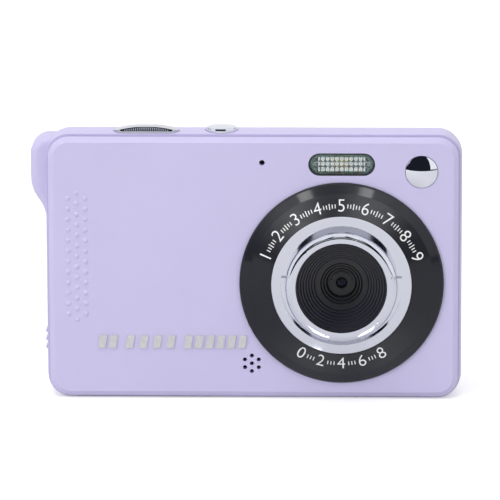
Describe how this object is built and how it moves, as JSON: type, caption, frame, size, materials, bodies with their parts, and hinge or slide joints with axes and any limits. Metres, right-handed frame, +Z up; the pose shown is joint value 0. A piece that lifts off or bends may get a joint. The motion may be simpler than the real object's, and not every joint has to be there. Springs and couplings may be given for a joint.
{
  "type": "kids digital camera",
  "caption": "Flat rectangular camera with a lens in a broad dark cone, chrome ring, oval shutter and round power buttons on top, strap lug, screen and keys on the back.",
  "frame": {"origin": "mouth of the tripod socket, in the middle of the flat base", "axes": "+Z up; the lens looks along -Y; +X is to the right when facing the lens"},
  "size_m": [0.1012, 0.026, 0.0646],
  "materials": {
    "front_shell": "smooth lilac ABS",
    "rear_shell": "smooth lilac ABS",
    "key_caps": "smooth lilac ABS",
    "port_rubber": "soft lilac TPE",
    "screw_steel": "plated steel",
    "silver_trim": "silver foil on raised plastic",
    "lens_ring_black": "glossy black ABS",
    "chrome_plating": "chrome plating on plastic",
    "lens_black": "black moulded plastic",
    "optical_glass": "coated lens",
    "filter_glass": "blue-tinted filter",
    "sensor": "black package with a glossy window",
    "circuit_board": "green solder mask",
    "clear_window": "clear moulded acrylic",
    "led_yellow": "yellow phosphor",
    "resistor_brown": "brown chip parts",
    "mirror_plating": "bright plated dome",
    "steel_can": "stamped steel",
    "moulded_black": "black moulded plastic",
    "brass_insert": "machined brass",
    "battery_wrap": "dark wrapped cell",
    "frame_grey": "dark grey moulded frame",
    "screen_panel": "dark display panel",
    "screen_window": "smoked cover window",
    "led_green": "green light pipe"
  },
  "bodies": {
    "camera_body": {"front_cover": "front_shell", "rear_cover": "rear_shell", "case_screws": "screw_steel", "trim_bars": "silver_trim", "lens_bezel": "lens_ring_black", "chrome_barrel": "chrome_plating", "lens_hood": "lens_black", "lens_holder": "lens_black", "lens_barrel": "lens_black", "lens_element": "optical_glass", "ir_filter": "filter_glass", "image_sensor": "sensor", "sensor_board": "circuit_board", "flash_window": "clear_window", "flash_board": "circuit_board", "flash_led": "led_yellow", "flash_components": "resistor_brown", "selfie_mirror": "mirror_plating", "microphone": "steel_can", "speaker": "moulded_black", "tripod_nut": "brass_insert", "shutter_switch": "moulded_black", "power_switch": "moulded_black", "top_switch_board": "circuit_board", "main_board": "circuit_board", "board_chips": "moulded_black", "board_screws": "screw_steel", "key_board": "circuit_board", "key_switches": "steel_can", "port_board": "circuit_board", "usb_socket": "steel_can", "card_socket": "steel_can", "battery": "battery_wrap", "battery_contacts": "moulded_black", "lcd_frame": "frame_grey", "lcd_panel": "screen_panel", "lcd_window": "screen_window", "status_led": "led_green", "rocker_pin": "screw_steel", "battery_door_pin": "screw_steel", "port_cover_pin": "screw_steel"},
    "shutter_button": {"shutter_button": "chrome_plating"},
    "power_button": {"power_button": "chrome_plating"},
    "zoom_rocker": {"zoom_rocker": "key_caps"},
    "mode_key": {"mode_key": "key_caps"},
    "menu_key": {"menu_key": "key_caps"},
    "play_key": {"play_key": "key_caps"},
    "delete_key": {"delete_key": "key_caps"},
    "up_key": {"up_key": "key_caps"},
    "right_key": {"right_key": "key_caps"},
    "down_key": {"down_key": "key_caps"},
    "left_key": {"left_key": "key_caps"},
    "ok_key": {"ok_key": "chrome_plating"},
    "battery_door": {"battery_door": "rear_shell"},
    "port_cover": {"port_cover": "port_rubber"}
  },
  "joints": [
    {"name": "shutter_press", "type": "slide", "parent": "camera_body", "child": "shutter_button", "axis": [0, 0, -1], "range_m": [0, 0.0006], "stiffness_N_per_m": 1500, "springref_m": -0.0002},
    {"name": "power_press", "type": "slide", "parent": "camera_body", "child": "power_button", "axis": [0, 0, -1], "range_m": [0, 0.0006], "stiffness_N_per_m": 1500, "springref_m": -0.0002},
    {"name": "mode_press", "type": "slide", "parent": "camera_body", "child": "mode_key", "axis": [0, -1, 0], "range_m": [0, 0.0004], "stiffness_N_per_m": 2000, "springref_m": -0.0001},
    {"name": "menu_press", "type": "slide", "parent": "camera_body", "child": "menu_key", "axis": [0, -1, 0], "range_m": [0, 0.0004], "stiffness_N_per_m": 2000, "springref_m": -0.0001},
    {"name": "play_press", "type": "slide", "parent": "camera_body", "child": "play_key", "axis": [0, -1, 0], "range_m": [0, 0.0004], "stiffness_N_per_m": 2000, "springref_m": -0.0001},
    {"name": "delete_press", "type": "slide", "parent": "camera_body", "child": "delete_key", "axis": [0, -1, 0], "range_m": [0, 0.0004], "stiffness_N_per_m": 2000, "springref_m": -0.0001},
    {"name": "up_press", "type": "slide", "parent": "camera_body", "child": "up_key", "axis": [0, -1, 0], "range_m": [0, 0.0004], "stiffness_N_per_m": 2000, "springref_m": -0.0001},
    {"name": "right_press", "type": "slide", "parent": "camera_body", "child": "right_key", "axis": [0, -1, 0], "range_m": [0, 0.0004], "stiffness_N_per_m": 2000, "springref_m": -0.0001},
    {"name": "down_press", "type": "slide", "parent": "camera_body", "child": "down_key", "axis": [0, -1, 0], "range_m": [0, 0.0004], "stiffness_N_per_m": 2000, "springref_m": -0.0001},
    {"name": "left_press", "type": "slide", "parent": "camera_body", "child": "left_key", "axis": [0, -1, 0], "range_m": [0, 0.0004], "stiffness_N_per_m": 2000, "springref_m": -0.0001},
    {"name": "ok_press", "type": "slide", "parent": "camera_body", "child": "ok_key", "axis": [0, -1, 0], "range_m": [0, 0.0004], "stiffness_N_per_m": 2000, "springref_m": -0.0001},
    {"name": "zoom_tilt", "type": "hinge", "parent": "camera_body", "child": "zoom_rocker", "pos_m": [-0.0312, 0.00975, 0.0532], "axis": [0, 0, 1], "range_deg": [-3, 3], "stiffness_Nm_per_rad": 0.15},
    {"name": "battery_door_swing", "type": "hinge", "parent": "camera_body", "child": "battery_door", "pos_m": [-0.026, 0.0031, 0.00115], "axis": [1, 0, 0], "range_deg": [0, 95]},
    {"name": "port_cover_swing", "type": "hinge", "parent": "camera_body", "child": "port_cover", "pos_m": [-0.04755, 0.0005, 0.0302], "axis": [0, 1, 0], "range_deg": [0, 95]}
  ]
}
